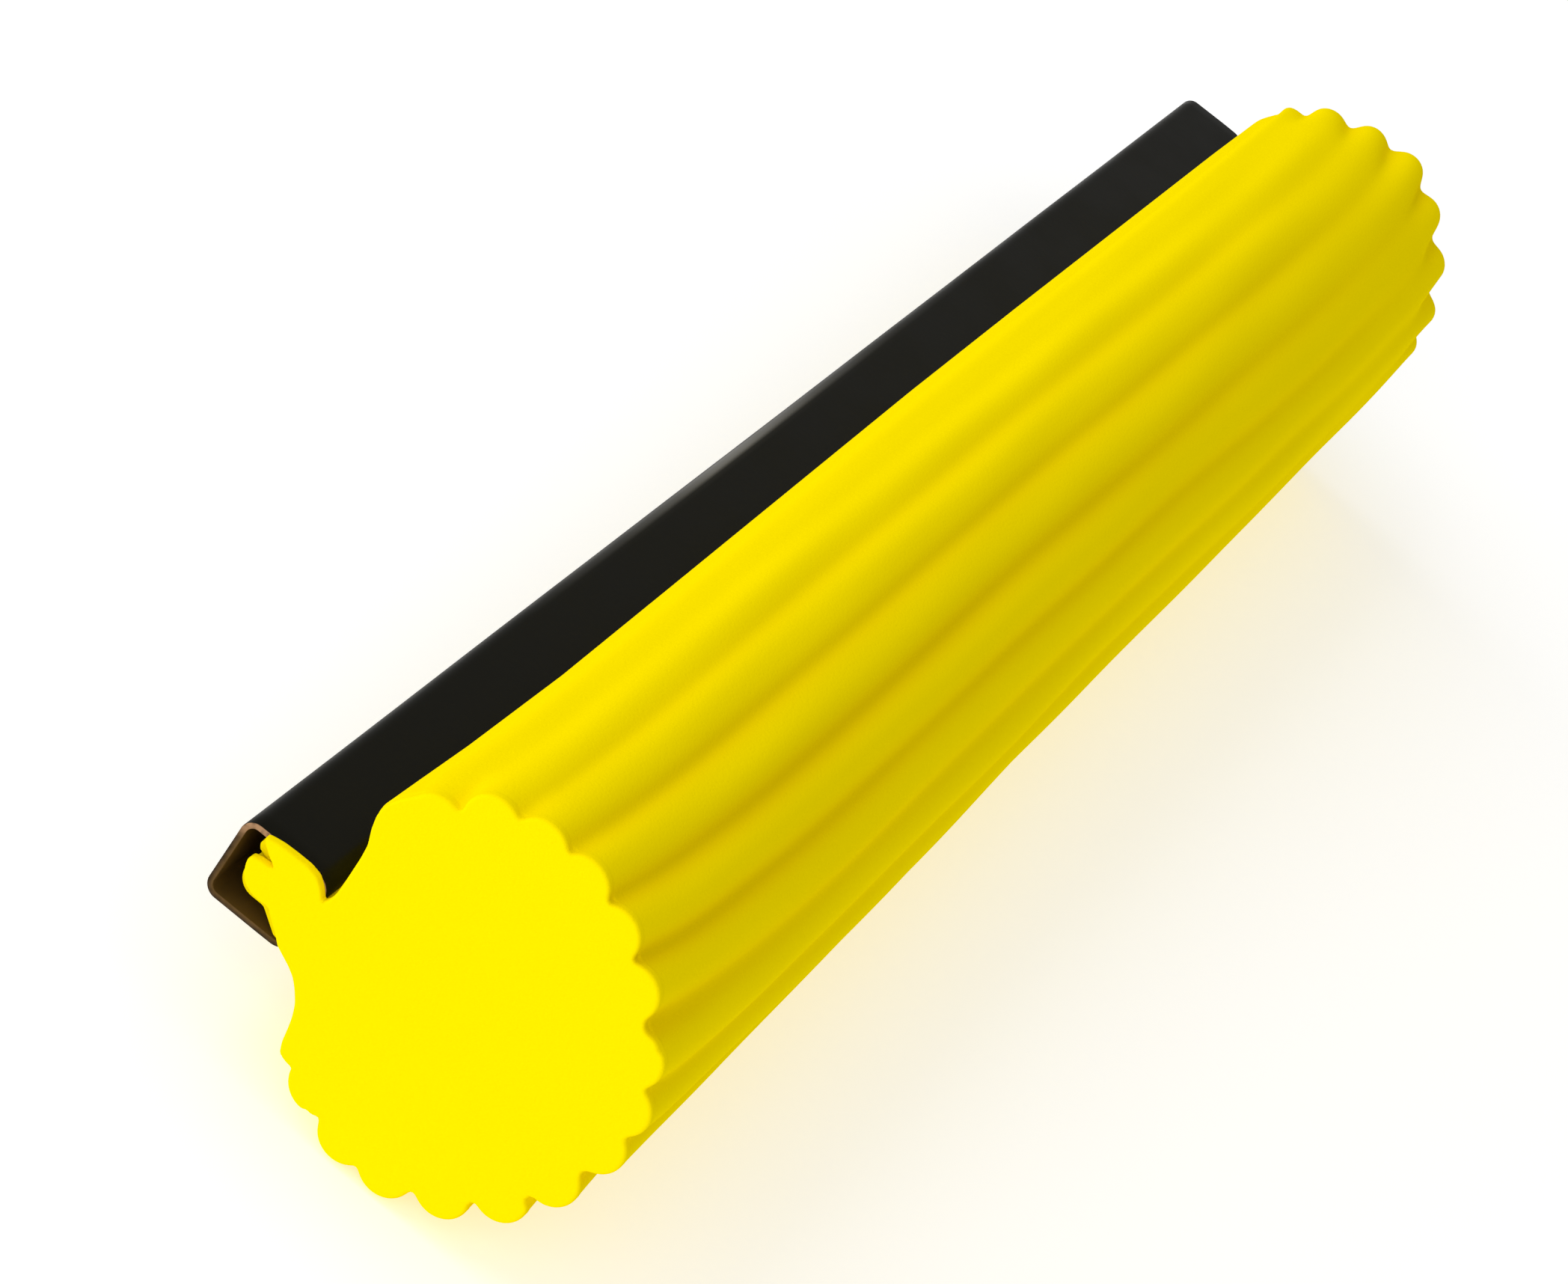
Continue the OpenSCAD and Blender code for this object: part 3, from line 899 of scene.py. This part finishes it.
def paint_finish(finishes):
    """Satin black paint, with a warm brown inside that stands in for bounce light from the sponge, sheared
    edges of bare metal warmed by painted reflected light, and a painted highlight on one bend.
    """
    material, tree, shader, place = new_material("satin_black_paint")
    tone = placed_group(tree, tone_group(), (-900, 200), Scale=60.0, Amount=0.5,
                        Base=rgba(finishes.paint), Patch=rgba([c * 1.35 for c in finishes.paint]))
    edge_wear_and_reflection_tone = placed_group(tree, tone_group(), (-900, -150), Scale=900.0, Amount=1.0,
                        Base=rgba(finishes.edge_wear_and_reflection), Patch=rgba([c * 0.35 for c in finishes.edge_wear_and_reflection]))
    grain = placed_group(tree, grain_group(), (-900, -450), Scale=700.0, Pores=0.0, Height=1.0)
    follow_place(tree, place, tone, edge_wear_and_reflection_tone, grain)
    inside, bend_highlight = mask(tree, "inside", (-1200, -600)), mask(tree, "bend_highlight", (-1200, -800))
    # Painted warm bounce light on the rail's inner faces
    coat = mixed(tree, (-700, 100), inside, tone.outputs["Color"], rgba(finishes.inside))
    # Painted highlight mixed onto the upper bend
    bend = mixed(tree, (-600, 250), bend_highlight, coat, rgba(finishes.bend_highlight))
    # Sheared edges: bare metal with painted warm reflected light
    edge = mixed(tree, (-500, 100), mask(tree, "sheared", (-1200, -400)), bend, edge_wear_and_reflection_tone.outputs["Color"])
    tree.links.new(edge, shader.inputs["Base Color"])
    cloudy_roughness(tree, shader, tone, (-500, -200), low=0.36, high=0.5)
    bumped(tree, shader, grain, (-500, -450), strength=0.12, distance=0.1 * MM)
    shader.inputs["Specular IOR Level"].default_value = 0.035
    return material


def zinc_finish(finishes):
    """Zinc plating: cloudy, a little rough, with fine grain."""
    material, tree, shader, place = new_material("zinc_plating")
    tone = placed_group(tree, tone_group(), (-900, 200), Scale=500.0, Amount=0.6,
                        Base=rgba(finishes.zinc), Patch=rgba([c * 0.7 for c in finishes.zinc]))
    grain = placed_group(tree, grain_group(), (-900, -200), Scale=2500.0, Pores=0.1, Height=1.0)
    follow_place(tree, place, tone, grain)
    tree.links.new(tone.outputs["Color"], shader.inputs["Base Color"])
    cloudy_roughness(tree, shader, tone, (-500, -100), low=0.28, high=0.5)
    bumped(tree, shader, grain, (-500, -400), strength=0.2, distance=0.05 * MM)
    shader.inputs["Metallic"].default_value = 1.0
    return material


def floor_finish(finishes):
    """Plain pale floor with a trace of tone."""
    material, tree, shader, place = new_material("pale_floor")
    tone = placed_group(tree, tone_group(), (-900, 200), Scale=3.0, Amount=0.2,
                        Base=rgba(finishes.floor), Patch=rgba([c * 0.99 for c in finishes.floor]))
    follow_place(tree, place, tone)
    tree.links.new(tone.outputs["Color"], shader.inputs["Base Color"])
    shader.inputs["Roughness"].default_value = 0.9
    shader.inputs["Specular IOR Level"].default_value = 0.0
    shader.inputs["Emission Color"].default_value = (1, 1, 1, 1)
    shader.inputs["Emission Strength"].default_value = 0.33
    return material


# ---------------------------------------------------------------- operators


class ROLLREFILL_OT_sponge(Operator):
    """Build the fluted sponge roll with its neck and split bulb"""

    bl_idname = "rollrefill.sponge"
    bl_label = "Sponge roll"

    def execute(self, context):
        scene = context.scene
        remove_if_there("fluted_sponge")
        sponge = build_sponge(scene.rollrefill_sponge, scene.rollrefill_rail)
        sponge.data.materials.append(sponge_finish(scene.rollrefill_finishes))
        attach(sponge, "sponge")
        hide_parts("sponge_roll")
        return {"FINISHED"}


class ROLLREFILL_OT_rail(Operator):
    """Build the lipped rail that holds the sponge"""

    bl_idname = "rollrefill.rail"
    bl_label = "Lipped rail"

    def execute(self, context):
        scene = context.scene
        remove_if_there("lipped_rail")
        rail = build_rail(scene.rollrefill_rail)
        rail.data.materials.append(paint_finish(scene.rollrefill_finishes))
        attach(rail, "rail")
        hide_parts("clamp_rail")
        return {"FINISHED"}


class ROLLREFILL_OT_nuts(Operator):
    """Build the two square nuts behind the rail's screw holes"""

    bl_idname = "rollrefill.nuts"
    bl_label = "Square nuts"

    def execute(self, context):
        scene = context.scene
        remove_if_there("captive_nuts")
        nuts = build_nuts(scene.rollrefill_nuts, scene.rollrefill_rail)
        nuts.data.materials.append(zinc_finish(scene.rollrefill_finishes))
        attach(nuts, "rail")
        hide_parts("square_nuts")
        return {"FINISHED"}


def aimed(direction, up):
    """A turn that points an object's -Z along a direction with its +Y towards up."""
    back = -Vector(direction).normalized()
    right = Vector(up).cross(back).normalized()
    return Matrix((right, back.cross(right), back)).transposed().to_4x4()


def area_light(name, place, aim, size, power):
    """A square soft light at a place, pointed at aim."""
    lamp = bpy.data.lights.new(name, "AREA")
    lamp.shape, lamp.size, lamp.energy = "SQUARE", size, power
    obj = bpy.data.objects.new(name, lamp)
    obj.matrix_world = Matrix.Translation(place) @ aimed(Vector(aim) - Vector(place), (0, 0, 1))
    bpy.context.scene.collection.objects.link(obj)


class ROLLREFILL_OT_stage(Operator):
    """Lay the floor, hang the lights and set up the camera"""

    bl_idname = "rollrefill.stage"
    bl_label = "Stage"

    def execute(self, context):
        scene = context.scene
        remove_if_there("pale_floor", "view_camera", "key_light", "end_light")
        reach = 6.0
        corners = [(-reach, -reach, 0), (reach, -reach, 0), (reach, reach, 0), (-reach, reach, 0)]
        floor = new_piece("pale_floor", corners, [[0, 1, 2, 3]], smooth=False)
        floor.data.materials.append(floor_finish(scene.rollrefill_finishes))

        area_light("key_light", (0.25, -1.6, 1.1), aim=(0, 0, 0.03), size=2.2, power=19.5)
        area_light("end_light", (1.9, 0.0, 0.9), aim=(0.15, 0, 0.03), size=1.6, power=13)
        world = bpy.data.worlds.new("soft_room")
        world.use_nodes = True
        background = world.node_tree.nodes["Background"]
        background.inputs["Color"].default_value = (1, 1, 1, 1)
        background.inputs["Strength"].default_value = 0.49
        scene.world = world
        scene.view_settings.view_transform = "Standard"

        camera = bpy.data.cameras.new("view_camera")
        camera.lens, camera.sensor_width = 126.09, 36.0
        camera.clip_start, camera.clip_end = 0.05, 50.0
        obj = bpy.data.objects.new("view_camera", camera)
        place = (0.79541, 0.07651, 0.42033)
        direction, up = (-0.87668, -0.09766, -0.47105), (-0.31578, -0.62186, 0.71664)
        obj.matrix_world = Matrix.Translation(place) @ aimed(direction, up)
        scene.collection.objects.link(obj)
        scene.camera = obj
        return {"FINISHED"}


class ROLLREFILL_PT_panel(Panel):
    """Lists the pieces and their sizes"""

    bl_idname = "ROLLREFILL_PT_panel"
    bl_label = "Sponge roll refill"
    bl_space_type = "VIEW_3D"
    bl_region_type = "UI"
    bl_category = "Roll refill"

    def draw(self, context):
        layout = self.layout
        for operator in (ROLLREFILL_OT_sponge, ROLLREFILL_OT_rail, ROLLREFILL_OT_nuts, ROLLREFILL_OT_stage):
            layout.operator(operator.bl_idname)
        for group in SETTINGS:
            values = getattr(context.scene, group)
            column = layout.column(align=True)
            for name in values.__annotations__:
                column.prop(values, name)


SETTINGS = {
    "rollrefill_sponge": SpongeSizes,
    "rollrefill_rail": RailSizes,
    "rollrefill_nuts": NutSizes,
    "rollrefill_finishes": Finishes,
}
CLASSES = (*SETTINGS.values(), ROLLREFILL_OT_sponge, ROLLREFILL_OT_rail, ROLLREFILL_OT_nuts,
           ROLLREFILL_OT_stage, ROLLREFILL_PT_panel)


def register():
    for cls in CLASSES:
        bpy.utils.register_class(cls)
    for name, group in SETTINGS.items():
        setattr(bpy.types.Scene, name, PointerProperty(type=group))


def unregister():
    for name in SETTINGS:
        delattr(bpy.types.Scene, name)
    for cls in reversed(CLASSES):
        bpy.utils.unregister_class(cls)


def main():
    """Builds every piece and the stage."""
    register()
    bpy.ops.rollrefill.sponge()
    bpy.ops.rollrefill.rail()
    bpy.ops.rollrefill.nuts()
    bpy.ops.rollrefill.stage()


if __name__ == "__main__":
    main()
